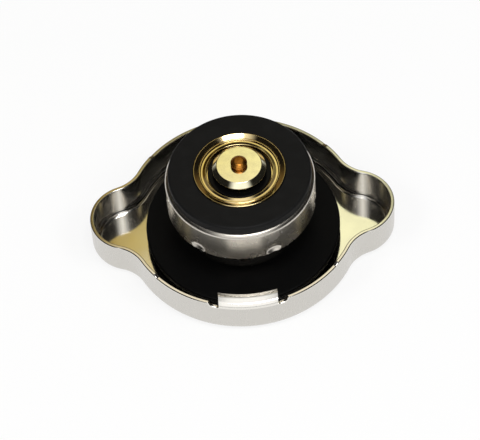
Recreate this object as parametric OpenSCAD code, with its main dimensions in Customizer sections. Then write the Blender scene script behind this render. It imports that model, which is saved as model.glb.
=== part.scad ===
// Radiator pressure cap, lying on its crown with its valve upwards.
// Sizes are in millimetres. The crown's outer face is on z = 0 and the ears lie along X.

/* [Shell] */
// Outside diameter of the round body
body_d = 45.9; // [43:0.1:50]
// Distance across the two ears, tip to tip
ear_span = 59.7; // [57:0.1:66]
// Outside radius of each ear's tip
ear_r = 7.8; // [6.5:0.1:9]
// Outside radius of the hollow curve that blends an ear into the body
ear_blend_r = 7.2; // [5:0.1:9]
// Thickness of the drawn steel sheet
sheet_t = 0.8; // [0.6:0.05:1]
// Height of the skirt's rim over the crown
skirt_h = 8.2; // [7.4:0.1:10]
// Outside radius of the bend between crown and skirt
crown_bend_r = 1.8; // [1.4:0.1:2.4]
// Depth of the trimmed rim beside the locking tabs
rim_step = 0.25; // [0.1:0.05:0.6]
// Angle from a tab's middle to the end of the trimmed rim
rim_step_turn = 50; // [40:1:56]
// Chamfer on the rim's two edges
rim_chamfer = 0.15; // [0.05:0.05:0.25]
// Diameter of the boss pressed into the middle of the crown
boss_d = 13; // [12:0.5:18]
// Depth of the boss under the crown's face
boss_depth = 0.8; // [0.6:0.1:1.2]

/* [Locking tabs] */
// Width of a locking tab
tab_w = 11.4; // [8:0.1:16]
// Reach of a tab, inward from the skirt's outer face
tab_reach = 2.8; // [2:0.1:4.4]
// Inside radius of a tab's bend
tab_bend_r = 0.3; // [0.2:0.1:0.8]
// Width of the relief notch at each side of a tab
notch_w = 2.05; // [1:0.05:2.4]
// Depth of the notches below the start of the tab's bend
notch_drop = 0.05; // [0.05:0.05:0.6]

/* [Neck gasket] */
// Diameter of the rubber gasket
gasket_d = 38.2; // [36.5:0.1:40]
// Thickness of the rubber gasket
gasket_t = 1.5; // [1:0.1:2]
// Rise of the gasket's outer edge over its clamped middle
gasket_rise = 0.4; // [0.1:0.1:0.8]
// Diameter of the spring plate under the gasket
plate_d = 36; // [30:0.5:36]
// Thickness of the spring plate
plate_t = 0.4; // [0.2:0.05:0.6]

/* [Centre rivet] */
// Diameter of the shoulder that the valve side turns on
rivet_d = 5.8; // [5:0.1:7]
// Diameter of the ends that pass through crown and washer
rivet_end_d = 4.2; // [3:0.1:4.6]
// Diameter of the rivet's heads
rivet_head_d = 8.4; // [7.4:0.1:9.4]
// Height of the rivet's heads
rivet_head_h = 0.7; // [0.4:0.05:0.8]
// Diameter of the washer under the formed head
rivet_washer_d = 11; // [9.6:0.1:14]
// Thickness of that washer
rivet_washer_t = 0.8; // [0.5:0.1:1.2]

/* [Spring holder] */
// Outside diameter of the holder's can
holder_d = 22; // [21.6:0.1:23]
// Thickness of the holder's sheet
holder_t = 0.6; // [0.4:0.05:0.7]
// Outside radius of the can's bottom bend
holder_bend_r = 1.2; // [0.9:0.1:1.6]
// Inside radius of the flange's bend
flange_bend_r = 0.4; // [0.2:0.05:0.6]
// Width of the can's windows
window_w = 4; // [2:0.1:5]
// Height of the can's windows
window_h = 5; // [5:0.1:5.5]
// Height of the windows' lower ends over the gasket
window_rise = 2.4; // [2:0.1:2.6]

/* [Main spring] */
// Wire diameter of the main spring
main_wire_d = 1.6; // [1.2:0.1:1.8]
// Turns of the main spring
main_turns = 5; // [4.5:0.25:6]

/* [Valve cup] */
// Outside diameter of the cup
cup_d = 29; // [28.6:0.1:31]
// Thickness of the cup's sheet
cup_t = 0.6; // [0.5:0.05:0.7]
// Height of the cup from its foot to its face
cup_h = 7.1; // [6.5:0.05:8.5]
// Height of the cup's foot over the gasket
cup_rise = 8.2; // [7.6:0.1:10]
// Outside radius of the bend between the cup's face and skirt
cup_bend_r = 0.8; // [0.75:0.05:1.2]
// Crimp dents round the foot
dent_count = 6; // [3:1:8]
// Radius of the punch that made a dent
dent_r = 1.8; // [1.6:0.05:2]
// Depth of a dent in the skirt's outer face
dent_depth = 0.95; // [0.8:0.05:1.1]
// Height of a dent's middle over the foot
dent_rise = 0.9; // [0.6:0.05:1]
// Angle from +X to the first dent
dent_turn = -7.5; // [-30:0.5:30]

/* [Pressure seal] */
// Diameter of the rubber seal
seal_d = 27.7; // [26:0.1:28]
// Thickness of the rubber seal
seal_t = 1.9; // [1.6:0.05:2.6]
// Radius on the seal's outer edge
seal_round = 0.5; // [0.2:0.05:0.8]
// Thickness of the seal's inner web, clamped under the retainer
seal_web_t = 0.3; // [0.2:0.05:0.5]

/* [Seal retainer] */
// Diameter of the funnel flange's lip
lip_d = 17.8; // [17.2:0.1:20]
// Height of the lip over the seal's face
lip_rise = 0.4; // [0.2:0.05:0.6]
// Thickness of the flange
lip_t = 0.45; // [0.3:0.05:0.6]
// Fall of the funnel from its lip to the bead at its inner end
funnel_drop = 0.6; // [0.3:0.05:0.8]
// Diameter of the bead at the funnel's inner end
bead_d = 15.3; // [15:0.1:15.8]
// Radius of the bead's round top
bead_round = 0.2; // [0.1:0.05:0.25]
// Fall from the bead's middle to the ledge round the well
ledge_drop = 0.1; // [0.05:0.05:0.4]
// Diameter of the well round the vacuum valve
well_d = 12.8; // [12.6:0.1:14]
// Radius on the well's edge
well_round = 0.15; // [0.05:0.05:0.25]
// Thickness of the well's wall
well_wall_t = 1.45; // [1.2:0.05:1.6]
// Thickness of the well's floor, the vacuum valve's seat
seat_t = 0.5; // [0.3:0.05:0.7]
// Outside diameter of the barrel through the cup
barrel_d = 12.2; // [11:0.1:13]
// Thickness of the barrel's wall
barrel_wall_t = 0.5; // [0.3:0.05:0.8]
// Diameter of the barrel's flared end
flare_d = 15.4; // [14:0.1:15.6]
// Thickness of the flared end
flare_t = 0.5; // [0.3:0.05:0.7]
// Flow holes in the well's floor
flow_count = 6; // [3:1:8]
// Diameter of a flow hole
flow_d = 1.8; // [1:0.1:2]
// Diameter of the circle that the flow holes lie on
flow_ring_d = 8.4; // [8:0.1:8.8]

/* [Vacuum valve] */
// Diameter of the button's flat face
button_d = 8.7; // [7:0.1:9.6]
// Diameter of the button's edge
button_edge_d = 10.4; // [10:0.1:12]
// Height of the button's face over the retainer's lip
button_rise = 1.4; // [1:0.1:2]
// Height of the button's sloping edge
button_slope_h = 0.9; // [0.5:0.05:1.2]
// Thickness of the button at its edge
button_edge_t = 0.3; // [0.2:0.05:0.5]
// Diameter of the hub under the button
hub_d = 8; // [6:0.1:9]
// Thickness of the vacuum valve's rubber washer
vacuum_seal_t = 0.65; // [0.4:0.05:0.9]
// Diameter of the valve's stem
stem_d = 2.2; // [1.6:0.05:2.6]
// Length of the stem below the retainer's seat
stem_reach = 6.4; // [5.6:0.1:7]
// Diameter of the stem's domed head
pin_d = 3.2; // [2.8:0.1:4]
// Height of the stem's domed head over the button
pin_rise = 1.4; // [1:0.05:1.8]
// Diameter of the washer on the stem's inner end
stem_washer_d = 6; // [5.2:0.1:8]
// Thickness of that washer
stem_washer_t = 0.6; // [0.4:0.05:0.8]
// Wire diameter of the light spring
vacuum_wire_d = 0.4; // [0.3:0.05:0.5]
// Diameter of its coil at the middle of the wire
vacuum_coil_d = 4.2; // [3.6:0.1:4.6]
// Turns of the light spring
vacuum_turns = 5.5; // [4.5:0.25:6]

/* [Fits] */
// Radial clearance of the valve side on the rivet's shoulder
turn_clear = 0.05; // [0.02:0.01:0.1]
// End play of the valve side under the rivet's washer
end_play = 0.1; // [0.05:0.05:0.3]
// Radial clearance of the main spring in the holder's can
spring_clear = 0.6; // [0.4:0.05:0.8]
// Radial clearance of the holder's flange in the cup
flange_clear = 0.45; // [0.35:0.05:0.5]
// Gap between the holder's flange and the dents that stop it
catch_gap = 0.05; // [0.02:0.01:0.15]
// Radial clearance of the vacuum washer in its well
well_clear = 0.25; // [0.15:0.05:0.4]
// Radial clearance of the stem in its guide hole
guide_clear = 0.08; // [0.03:0.01:0.1]

/* [Hidden] */
$fn = 96;
// Spare length of a cut past the face that it opens
cut_over = 1;

// Outline of the shell: body, ear and blend arcs that touch each other
body_r = body_d / 2;
ear_x = ear_span / 2 - ear_r;
body_to_blend = body_r + ear_blend_r;
ear_to_blend = ear_r + ear_blend_r;
blend_x = (body_to_blend ^ 2 - ear_to_blend ^ 2 + ear_x ^ 2) / (2 * ear_x);
blend_y = sqrt(body_to_blend ^ 2 - blend_x ^ 2);
body_turn = atan2(blend_y, blend_x);
ear_turn = atan2(blend_y, blend_x - ear_x);

// Locking tabs and their relief notches
tab_outer_r = tab_bend_r + sheet_t;
tab_z = skirt_h - tab_outer_r;
notch_z = tab_z - notch_drop;
root_h = 0.4;
root_inset = sheet_t / 4;
notch_r = notch_w / 2;
trim_h = skirt_h - rim_step;
bend_steps = 4;
// Width of the shear between two heights of the rim
slit = 0.04;
slit_turn = slit / body_r * 180 / PI;

// Stack on the rivet, from the crown upwards
boss_z = boss_depth + sheet_t;
gasket_z = boss_z + plate_t;
stack_z = gasket_z + gasket_t;
holder_floor_z = stack_z + holder_t;
rivet_washer_z = holder_floor_z + end_play;
rivet_top_z = rivet_washer_z + rivet_washer_t;
turn_hole_r = rivet_d / 2 + turn_clear;
press_gap = 0.02;
main_coil_d = holder_d - 2 * (holder_t + spring_clear) - main_wire_d;
gasket_slope = gasket_rise / (gasket_d / 2 - holder_d / 2);

// Valve cup, and the holder's flange that rests on its dents
cup_r = cup_d / 2;
cup_foot_z = stack_z + cup_rise;
cup_face_z = cup_foot_z + cup_h;
cup_inner_z = cup_face_z - cup_t;
dent_z = cup_foot_z + dent_rise;
dent_x = cup_r + dent_r - dent_depth;
flange_r = cup_r - cup_t - flange_clear;
flange_z = dent_z + sqrt((dent_r + cup_t) ^ 2 - (dent_x - flange_r) ^ 2) + catch_gap;
flange_top_z = flange_z + holder_t;

// Seal and retainer on the cup's face
seal_top_z = cup_face_z + seal_t;
lip_r = lip_d / 2;
lip_z = seal_top_z + lip_rise;
bead_z = lip_z - funnel_drop;
bead_r = bead_d / 2;
ledge_z = bead_z - ledge_drop;
well_r = well_d / 2;
well_outer_r = well_r + well_wall_t;
lip_slope = funnel_drop / (lip_r - bead_r);
shoulder_z = cup_face_z + seal_web_t;
seat_z = shoulder_z + seat_t;
barrel_r = barrel_d / 2;
flare_z = cup_inner_z - flare_t;

// Vacuum valve in the retainer's well
vacuum_seal_r = well_r - well_clear;
disc_z = seat_z + vacuum_seal_t;
button_z = lip_z + button_rise;
stem_end_z = shoulder_z - stem_reach;
stem_end_h = stem_washer_t;
stem_washer_z = stem_end_z + stem_end_h;

// Points on a round stretch of a profile
function arc(x, z, r, from, to, steps = 8) = [
    for (i = [0:steps])
        let (a = from + (to - from) * i / steps)
        [x + r * cos(a), z + r * sin(a)]
];

// Height of the dished gasket and plate over their flat middle
function dish(r) = max(0, r - holder_d / 2) * gasket_slope;

// Plain ring or disc with a hole
module ring(outer_d, inner_d, z, h) {
    translate([0, 0, z]) rotate_extrude()
        translate([inner_d / 2, 0]) square([outer_d / 2 - inner_d / 2, h]);
}

// Stations of the shell's outline: [x, y, outward direction, height of the rim]
function stations(cx, cy, r, turns, heights, flip = 0) = [
    for (i = [0:len(turns) - 1])
        let (a = turns[i])
        [cx + r * cos(a), cy + r * sin(a), a + flip, heights[i]]
];

// Evenly spaced turns that leave out the last, where the next stretch begins
function turns(from, to, steps) = [for (i = [0:steps - 1]) from + (to - from) * i / steps];

// Height of a notch's rounded outer corner at the distance x from the tab's middle
function notch_h(x) = notch_z + notch_r - sqrt(notch_r ^ 2 - (x - tab_w / 2 - notch_w + notch_r) ^ 2);

// A quarter of the outline, from the middle of an ear to the middle of a locking tab
function quarter() =
    let (
        ear = turns(0, ear_turn, 7),
        blend = turns(180 + ear_turn, 180 + body_turn, 6),
        plain = turns(body_turn, 90 - rim_step_turn, 3),
        step = [for (side = [-1, 1]) 90 - rim_step_turn + side * slit_turn],
        notch_turn = 90 - asin((tab_w / 2 + notch_w) / body_r),
        trimmed = turns(90 - rim_step_turn + 3 * slit_turn, notch_turn - slit_turn, 6),
        corner = [for (i = [0:5]) tab_w / 2 + notch_w - notch_r * (1 - cos(18 * i))],
        floor_turn = 90 - asin(corner[5] / body_r),
        floor = [for (i = [1:5]) floor_turn + (90 - floor_turn) * i / 5]
    )
    concat(
        stations(ear_x, 0, ear_r, ear, [for (a = ear) skirt_h]),
        stations(blend_x, blend_y, ear_blend_r, blend, [for (a = blend) skirt_h], 180),
        stations(0, 0, body_r, plain, [for (a = plain) skirt_h]),
        stations(0, 0, body_r, step, [skirt_h, trim_h]),
        stations(0, 0, body_r, trimmed, [for (a = trimmed) trim_h]),
        stations(0, 0, body_r, [notch_turn - slit_turn], [trim_h]),
        stations(0, 0, body_r, [for (x = corner) 90 - asin(x / body_r)],
            [for (x = corner) min(trim_h, notch_h(x))]),
        stations(0, 0, body_r, floor, [for (a = floor) notch_z])
    );

// The whole outline: a quarter, its mirror image, and both turned half round
function mirrored(s) = [-s[0], s[1], 180 - s[2], s[3]];
function turned(s) = [-s[0], -s[1], s[2] + 180, s[3]];
function outline() =
    let (
        q = quarter(),
        half = concat(q, [for (i = [len(q) - 2:-1:1]) mirrored(q[i])])
    )
    concat(half, [for (s = half) turned(s)]);

// Closed section of the sheet at one station, from the rivet hole out to the rim and back.
// Points round the boss lie at a distance from the axis, the others at an offset from the outline.
function shell_section(s) =
    let (
        a = atan2(s[1], s[0]),
        h = s[3],
        // The notches' floor keeps sharp edges, as the tab's root stands on it
        c = h > notch_z + slit ? rim_chamfer : slit,
        bend_r = crown_bend_r,
        boss_r = boss_d / 2,
        boss_foot_r = boss_r + boss_depth,
        hole_r = rivet_end_d / 2 + press_gap,
        // The boss's flank slopes at 45 degrees, so its two faces are this much apart
        flank_shift = sheet_t * tan(45 / 2),
        under = [[hole_r, boss_depth], [boss_r, boss_depth], [boss_foot_r, 0]],
        over = [
            [boss_foot_r + flank_shift, sheet_t], [boss_r + flank_shift, boss_z], [hole_r, boss_z]
        ],
        wall = concat(
            arc(-bend_r, bend_r, bend_r, -90, 0, bend_steps),
            [[0, h - c], [-c, h], [c - sheet_t, h], [-sheet_t, h - c]],
            arc(-bend_r, bend_r, bend_r - sheet_t, 0, -90, bend_steps)
        )
    )
    concat(
        [for (p = under) [p[0] * cos(a), p[0] * sin(a), p[1]]],
        [for (p = wall) [s[0] + p[0] * cos(s[2]), s[1] + p[0] * sin(s[2]), p[1]]],
        [for (p = over) [p[0] * cos(a), p[0] * sin(a), p[1]]]
    );

// Sheet section carried round the outline
module swept_sheet() {
    rings = [for (s = outline()) shell_section(s)];
    count = len(rings);
    size = len(rings[0]);
    walls = [
        for (i = [0:count - 1], k = [0:size - 1])
            let (
                j = (i + 1) % count,
                l = (k + 1) % size
            )
            each [
                [i * size + k, i * size + l, j * size + l],
                [i * size + k, j * size + l, j * size + k]
            ]
    ];
    polyhedron([for (r = rings) each r], walls);
}

// Tab that stands on the notches' floor and bends inward, with its root inside the wall
module locking_tab() {
    bend_x = body_r - tab_outer_r;
    intersection() {
        rotate_extrude() polygon(concat(
            [
                [body_r - sheet_t, notch_z], [body_r - sheet_t + root_inset, notch_z],
                [body_r - sheet_t + root_inset, notch_z - root_h],
                [body_r - root_inset, notch_z - root_h], [body_r - root_inset, notch_z],
                [body_r, notch_z]
            ],
            arc(bend_x, tab_z, tab_outer_r, 0, 90),
            [[body_r - tab_reach, skirt_h], [body_r - tab_reach, skirt_h - sheet_t]],
            arc(bend_x, tab_z, tab_bend_r, 90, 0)
        ));
        translate([-tab_w / 2, 0, 0]) cube([tab_w, body_r + cut_over, skirt_h + cut_over]);
    }
}

// Drawn shell with two ears and two locking tabs
module cap_shell() {
    color("gainsboro") {
        swept_sheet();
        for (turn = [0, 180]) rotate([0, 0, turn]) locking_tab();
    }
}

// Shouldered rivet with a flat head in the boss and a domed head over the washer
module centre_rivet() {
    head_r = rivet_head_d / 2;
    end_r = rivet_end_d / 2;
    color("silver") rotate_extrude() polygon([
        [0, boss_depth - rivet_head_h], [head_r, boss_depth - rivet_head_h], [head_r, boss_depth],
        [end_r, boss_depth], [end_r, boss_z], [rivet_d / 2, boss_z], [rivet_d / 2, rivet_washer_z],
        [end_r, rivet_washer_z], [end_r, rivet_top_z], [head_r, rivet_top_z],
        [head_r, rivet_top_z + rivet_head_h / 2], [end_r, rivet_top_z + rivet_head_h],
        [0, rivet_top_z + rivet_head_h]
    ]);
}

module rivet_washer() {
    color("silver") ring(rivet_washer_d, rivet_end_d, rivet_washer_z, rivet_washer_t);
}

// Thin spring plate, dished with the gasket that it carries
module gasket_spring_plate() {
    plate_r = plate_d / 2;
    rise = dish(plate_r);
    color("slategray") rotate_extrude() polygon([
        [turn_hole_r, boss_z], [holder_d / 2, boss_z], [plate_r, boss_z + rise],
        [plate_r, gasket_z + rise], [holder_d / 2, gasket_z], [turn_hole_r, gasket_z]
    ]);
}

// Rubber gasket, clamped in the middle and dished towards the neck
module neck_gasket() {
    gasket_r = gasket_d / 2;
    edge_round = gasket_t / 4;
    color("black") rotate_extrude() polygon(concat(
        [[turn_hole_r, stack_z], [turn_hole_r, gasket_z], [holder_d / 2, gasket_z]],
        arc(gasket_r - edge_round, gasket_z + gasket_rise + edge_round, edge_round, -90, 0),
        arc(gasket_r - edge_round, stack_z + gasket_rise - edge_round, edge_round, 0, 90),
        [[holder_d / 2, stack_z]]
    ));
}

// Opening with round ends through both walls of the holder's can
module window_pair() {
    rotate([90, 0, 0]) translate([0, stack_z + window_rise, 0])
        linear_extrude(holder_d + 2 * cut_over, center = true) {
            translate([-window_w / 2, window_w / 2]) square([window_w, window_h - window_w]);
            for (z = [window_w / 2, window_h - window_w / 2]) translate([0, z]) circle(d = window_w);
        }
}

// Flanged can that holds the main spring and carries the cup
module spring_holder() {
    can_r = holder_d / 2;
    outer_bend_r = flange_bend_r + holder_t;
    bend_z = flange_top_z - outer_bend_r;
    color("silver") difference() {
        rotate_extrude() polygon(concat(
            [[turn_hole_r, stack_z]],
            arc(can_r - holder_bend_r, stack_z + holder_bend_r, holder_bend_r, -90, 0),
            arc(can_r + flange_bend_r, bend_z, flange_bend_r, 180, 90),
            [[flange_r, flange_z], [flange_r, flange_top_z]],
            arc(can_r + flange_bend_r, bend_z, outer_bend_r, 90, 180),
            arc(can_r - holder_bend_r, stack_z + holder_bend_r, holder_bend_r - holder_t, 0, -90),
            [[turn_hole_r, holder_floor_z]]
        ));
        for (turn = [0, 90]) rotate([0, 0, turn]) window_pair();
    }
}

// Round wire wound between two heights, with closed turns at both ends
module coil_spring(wire_d, coil_d, turns, from_z, to_z, steps, sides) {
    closed_turn = 0.75;
    closed_rise = wire_d * 1.05 * closed_turn;
    travel = to_z - from_z - wire_d;
    open_rise = travel - 2 * closed_rise;
    count = round(turns * steps);
    function height(t) = t < closed_turn ? closed_rise * t / closed_turn
        : t > turns - closed_turn ? travel - closed_rise * (turns - t) / closed_turn
        : closed_rise + open_rise * (t - closed_turn) / (turns - 2 * closed_turn);
    points = [
        for (i = [0:count], k = [0:sides - 1])
            let (
                t = turns * i / count,
                r = coil_d / 2 + wire_d / 2 * cos(360 * k / sides),
                z = from_z + wire_d / 2 * (1 + sin(360 * k / sides)) + height(t)
            )
            [r * cos(360 * t), r * sin(360 * t), z]
    ];
    walls = [
        for (i = [0:count - 1], k = [0:sides - 1])
            let (a = i * sides + k, b = i * sides + (k + 1) % sides)
            each [[a, b, b + sides], [a, b + sides, a + sides]]
    ];
    polyhedron(points, concat(
        [[for (k = [sides - 1:-1:0]) k]], walls, [[for (k = [0:sides - 1]) count * sides + k]]
    ));
}

module main_spring() {
    color("dimgray")
        coil_spring(main_wire_d, main_coil_d, main_turns, holder_floor_z, cup_inner_z, 28, 10);
}

// Places what repeats round the cup's foot
module at_dents() {
    for (i = [0:dent_count - 1])
        rotate([0, 0, dent_turn + 360 * i / dent_count]) translate([dent_x, 0, dent_z]) children();
}

// Drawn cup with dents punched inward under the holder's flange
module valve_cup() {
    color("silver") difference() {
        union() {
            rotate_extrude() polygon(concat(
                [[cup_r - cup_t, cup_foot_z], [cup_r, cup_foot_z]],
                arc(cup_r - cup_bend_r, cup_face_z - cup_bend_r, cup_bend_r, 0, 90),
                [[barrel_r, cup_face_z], [barrel_r, cup_inner_z]],
                arc(cup_r - cup_bend_r, cup_face_z - cup_bend_r, cup_bend_r - cup_t, 90, 0)
            ));
            intersection() {
                at_dents() sphere(dent_r + cup_t);
                translate([0, 0, cup_foot_z]) cylinder(r = cup_r - cup_t / 2, h = cup_h);
            }
        }
        at_dents() sphere(dent_r);
    }
}

// Thick rubber ring, clamped by its inner web
module pressure_seal() {
    seal_r = seal_d / 2;
    color("#282828") rotate_extrude() polygon(concat(
        [[barrel_r, cup_face_z], [seal_r, cup_face_z]],
        arc(seal_r - seal_round, seal_top_z - seal_round, seal_round, 0, 90),
        [
            [lip_r, seal_top_z], [lip_r, lip_z - lip_t],
            [well_outer_r, lip_z - lip_t - (lip_r - well_outer_r) * lip_slope],
            [well_outer_r, shoulder_z], [barrel_r, shoulder_z]
        ]
    ));
}

// Turned bush: funnel flange, bead, ledge, well with the vacuum valve's seat, and flared barrel
module seal_retainer() {
    guide_r = stem_d / 2 + guide_clear;
    color("darkgoldenrod") difference() {
        rotate_extrude() polygon(concat(
            [[guide_r, seat_z], [well_r, seat_z]],
            arc(well_r + well_round, ledge_z - well_round, well_round, 180, 90),
            [[bead_r - bead_round, ledge_z]],
            arc(bead_r, bead_z, bead_round, 180, atan(lip_slope)),
            [
                [lip_r, lip_z], [lip_r, lip_z - lip_t],
                [well_outer_r, lip_z - lip_t - (lip_r - well_outer_r) * lip_slope],
                [well_outer_r, shoulder_z], [barrel_r, shoulder_z], [barrel_r, cup_inner_z],
                [flare_d / 2, cup_inner_z], [flare_d / 2, flare_z],
                [barrel_r - barrel_wall_t, flare_z], [barrel_r - barrel_wall_t, shoulder_z],
                [guide_r, shoulder_z]
            ]
        ));
        for (i = [0:flow_count - 1]) rotate([0, 0, 360 * i / flow_count])
            translate([flow_ring_d / 2, 0, shoulder_z - cut_over])
                cylinder(d = flow_d, h = seat_t + 2 * cut_over);
    }
}

module vacuum_seal() {
    edge_round = vacuum_seal_t / 4;
    color("black") rotate_extrude() polygon(concat(
        [[stem_d / 2, disc_z], [stem_d / 2, seat_z], [vacuum_seal_r, seat_z]],
        arc(vacuum_seal_r - edge_round, disc_z - edge_round, edge_round, 0, 90)
    ));
}

// Flat-topped button with a sloping edge, on a hub that presses the rubber washer
module vacuum_disc() {
    edge_round = button_slope_h / 4;
    edge_r = button_edge_d / 2;
    slope_turn = atan((edge_r - button_d / 2) / button_slope_h);
    slope_z = button_z - button_slope_h;
    color("khaki") rotate_extrude() polygon(concat(
        [
            [stem_d / 2, disc_z], [hub_d / 2, disc_z], [hub_d / 2, slope_z - button_edge_t],
            [edge_r, slope_z - button_edge_t], [edge_r, slope_z]
        ],
        arc(button_d / 2 - edge_round, button_z - edge_round, edge_round, slope_turn, 90),
        [[stem_d / 2, button_z]]
    ));
}

// Brass pin with a domed head over the button and a peened inner end
module vacuum_stem() {
    pin_r = pin_d / 2;
    side_h = pin_rise / 2;
    dome_h = pin_rise - side_h;
    dome_r = (pin_r ^ 2 + dome_h ^ 2) / (2 * dome_h);
    dome_turn = asin(pin_r / dome_r);
    color("peru") rotate_extrude() polygon(concat(
        [
            [0, stem_end_z], [stem_d / 2, stem_end_z], [stem_d / 2, button_z], [pin_r, button_z]
        ],
        arc(0, button_z + pin_rise - dome_r, dome_r, 90 - dome_turn, 90)
    ));
}

module stem_washer() {
    color("silver") ring(stem_washer_d, stem_d, stem_washer_z, stem_washer_t);
}

module vacuum_spring() {
    color("dimgray") coil_spring(vacuum_wire_d, vacuum_coil_d, vacuum_turns,
        stem_washer_z + stem_washer_t, shoulder_z, 20, 8);
}

cap_shell();
centre_rivet();
rivet_washer();
gasket_spring_plate();
neck_gasket();
spring_holder();
main_spring();
valve_cup();
pressure_seal();
seal_retainer();
vacuum_seal();
vacuum_disc();
vacuum_stem();
stem_washer();
vacuum_spring();
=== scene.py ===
"""Looks of a radiator pressure cap that lies on its crown with its valve upwards.

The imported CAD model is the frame. The pieces that show and the two springs are built here with
rounded edges and their own finish, in the place of their CAD solids. The other solids keep their
shape and get a finish.
"""
import math

import bpy
import numpy as np
from mathutils import Matrix, Vector


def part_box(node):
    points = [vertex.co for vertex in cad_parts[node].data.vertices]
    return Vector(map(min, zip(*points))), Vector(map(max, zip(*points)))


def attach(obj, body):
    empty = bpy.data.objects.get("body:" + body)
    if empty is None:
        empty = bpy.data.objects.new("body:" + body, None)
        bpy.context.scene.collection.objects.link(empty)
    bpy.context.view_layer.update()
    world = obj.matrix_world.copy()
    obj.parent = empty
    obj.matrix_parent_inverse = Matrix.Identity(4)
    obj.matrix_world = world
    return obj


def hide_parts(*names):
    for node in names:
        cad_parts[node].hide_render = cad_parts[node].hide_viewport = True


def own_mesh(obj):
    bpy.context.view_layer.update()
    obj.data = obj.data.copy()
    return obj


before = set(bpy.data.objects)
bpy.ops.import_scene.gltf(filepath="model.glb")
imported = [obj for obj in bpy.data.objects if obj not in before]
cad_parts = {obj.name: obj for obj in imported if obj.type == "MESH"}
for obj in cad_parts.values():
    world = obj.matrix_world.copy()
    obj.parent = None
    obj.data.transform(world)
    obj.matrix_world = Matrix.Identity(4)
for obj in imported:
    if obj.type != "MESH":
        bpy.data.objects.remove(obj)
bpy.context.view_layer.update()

bl_info = {
    "name": "Radiator pressure cap",
    "version": (1, 0, 0),
    "blender": (4, 5, 0),
    "location": "3D View > Sidebar > Radiator cap",
    "description": "Builds the visible pieces of a radiator pressure cap over its CAD model",
    "category": "Add Mesh",
}

MM = 0.001
PHOTO_WIDTH = 480
SENSOR_WIDTH = 36.0


def linear(hex_colour):
    """Linear red, green and blue of an sRGB hex colour."""
    parts = [int(hex_colour[i : i + 2], 16) / 255 for i in (1, 3, 5)]
    return [c / 12.92 if c <= 0.04045 else ((c + 0.055) / 1.055) ** 2.4 for c in parts]


def length(mm, name, description):
    """Length property, given in millimetres and kept in metres."""
    return bpy.props.FloatProperty(
        name=name, description=description, default=mm * MM, min=0, unit="LENGTH", precision=5
    )


def angle(degrees, name, description):
    """Angle property, given in degrees and kept in radians."""
    return bpy.props.FloatProperty(
        name=name, description=description, default=math.radians(degrees), subtype="ANGLE"
    )


def colour(hex_colour, name, description):
    """Colour property, given as an sRGB hex value and kept linear."""
    return bpy.props.FloatVectorProperty(
        name=name,
        description=description,
        default=linear(hex_colour),
        size=3,
        min=0,
        max=1,
        subtype="COLOR",
    )


def level(node, top):
    """Height of a CAD node's top or foot, in millimetres."""
    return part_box(node)[1 if top else 0].z / MM


class ShellSizes(bpy.types.PropertyGroup):
    """Sizes of the drawn shell."""

    body_radius: length(22.95, "Body radius", "Outside radius of the round body")
    ear_middle: length(22.05, "Ear middle", "Distance of an ear's centre from the axis")
    ear_radius: length(7.8, "Ear radius", "Outside radius of an ear's tip")
    blend_radius: length(7.2, "Blend radius", "Outside radius of the hollow between ear and body")
    sheet: length(0.8, "Sheet", "Thickness of the drawn sheet")
    height: length(8.2, "Height", "Height of the rim over the crown")
    bend: length(1.8, "Crown bend", "Outside radius of the bend between crown and skirt")
    rim_round: length(0.22, "Rim round", "Radius on the rim's two edges")
    trim: length(0.25, "Trim", "Depth of the trimmed rim beside the locking tabs")
    trim_turn: angle(50, "Trim turn", "Angle from a tab's middle to the end of the trimmed rim")
    tab_half: length(5.7, "Tab half width", "Half of a locking tab's width")
    tab_reach: length(2.8, "Tab reach", "Reach of a tab inward from the skirt's outer face")
    tab_fall: length(0.25, "Tab fall", "Fall of a tab's face from its end towards its bend")
    tab_bend: length(0.3, "Tab bend", "Inside radius of a tab's bend")
    notch: length(2.05, "Notch", "Width of the relief notch beside a tab")
    notch_drop: length(0.05, "Notch drop", "Depth of the notches below the start of the tab's bend")
    burr: length(0.1, "Burr", "Unevenness of the sheared notch floor")
    boss_radius: length(6.5, "Boss radius", "Radius of the boss pressed into the crown")
    boss_depth: length(0.8, "Boss depth", "Depth of the boss under the crown's face")
    hole_radius: length(2.12, "Rivet hole", "Radius of the rivet's hole")


class GasketSizes(bpy.types.PropertyGroup):
    """Sizes of the neck gasket."""

    radius: length(19.1, "Radius", "Outside radius of the gasket")
    flat_radius: length(11.0, "Flat radius", "Radius of the clamped flat middle")
    hole_radius: length(2.95, "Hole", "Radius of the hole round the rivet's shoulder")
    thickness: length(1.5, "Thickness", "Thickness of the rubber")
    edge_round: length(0.375, "Edge round", "Radius on the outer edge")


class CupSizes(bpy.types.PropertyGroup):
    """Sizes of the drawn valve cup."""

    radius: length(14.5, "Radius", "Outside radius of the cup")
    sheet: length(0.6, "Sheet", "Thickness of the cup's sheet")
    bend: length(0.8, "Bend", "Outside radius of the bend between face and skirt")
    hole_radius: length(6.1, "Hole", "Radius of the hole for the retainer's barrel")
    dent_middle: length(15.25, "Dent middle", "Distance of a dent's punch centre from the axis")
    dent_radius: length(1.5, "Dent radius", "Radius of the punch that made a dent")
    dent_rise: length(1.25, "Dent rise", "Height of a dent's middle over the foot")
    dent_round: length(0.3, "Dent round", "Softness of a dent's edge")
    dent_width: bpy.props.FloatProperty(
        name="Dent width", description="Width of a dent over its height", default=1.35, min=1
    )
    dent_turn: angle(-7.5, "Dent turn", "Angle from +X to the first dent")
    dent_count: bpy.props.IntProperty(
        name="Dents", description="Crimp dents round the foot", default=6, min=1
    )


class SealSizes(bpy.types.PropertyGroup):
    """Sizes of the pressure seal."""

    radius: length(13.85, "Radius", "Outside radius of the seal")
    edge_round: length(0.5, "Edge round", "Radius on the seal's outer edge")
    web: length(0.3, "Web", "Thickness of the web clamped under the retainer")


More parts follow.
